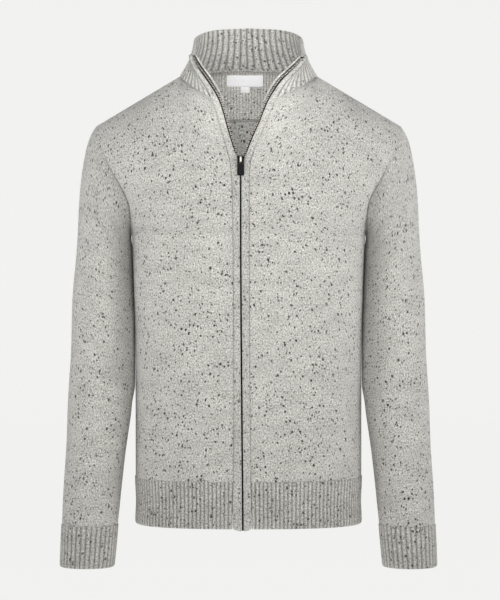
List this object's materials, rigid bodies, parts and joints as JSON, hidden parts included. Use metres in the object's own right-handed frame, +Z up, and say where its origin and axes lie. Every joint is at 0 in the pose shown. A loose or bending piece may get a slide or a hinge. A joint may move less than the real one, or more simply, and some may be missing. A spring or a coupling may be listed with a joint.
{
  "type": "long-sleeved zip-up knit cardigan",
  "caption": "Hollow long-sleeved knit cardigan with a ribbed stand collar, cuffs and hem, full front zip open to the chest, filled out as worn.",
  "frame": {"origin": "middle of the neck opening, level with the high points of the shoulders, where a wearer holds the garment up", "axes": "+X to the viewer's right, +Y to the garment's back, +Z up"},
  "size_m": [0.5816, 0.2559, 0.8393],
  "materials": {
    "knit": "light grey wool knit with dark flecks",
    "rib": "the same yarn, knitted in a rib",
    "band": "the same yarn, smooth and flat",
    "zip_tape": "black woven tape with grey coil teeth",
    "slider_metal": "dark gunmetal with a bright bridge",
    "pull": "matt black",
    "label": "white woven satin, bare"
  },
  "bodies": {
    "garment": {"front_left": "knit", "front_right": "knit", "back": "knit", "back_neck_panel": "knit", "sleeve_left": "knit", "sleeve_right": "knit", "cuff_left": "rib", "cuff_right": "rib", "hem_rib_left": "rib", "hem_rib_right": "rib", "hem_rib_back": "rib", "collar": "rib", "front_band_left": "band", "front_band_right": "band", "zip_tape_left": "zip_tape", "zip_tape_right": "zip_tape", "zip_slider": "slider_metal", "neck_label": "label", "size_tab": "label"},
    "pull": {"zip_pull": "pull"}
  },
  "joints": [
    {"name": "pull_hinge", "type": "hinge", "parent": "garment", "child": "pull", "pos_m": [-0.0117, -0.1294, -0.1326], "axis": [-1, 0, 0], "range_deg": [0, 150]}
  ]
}
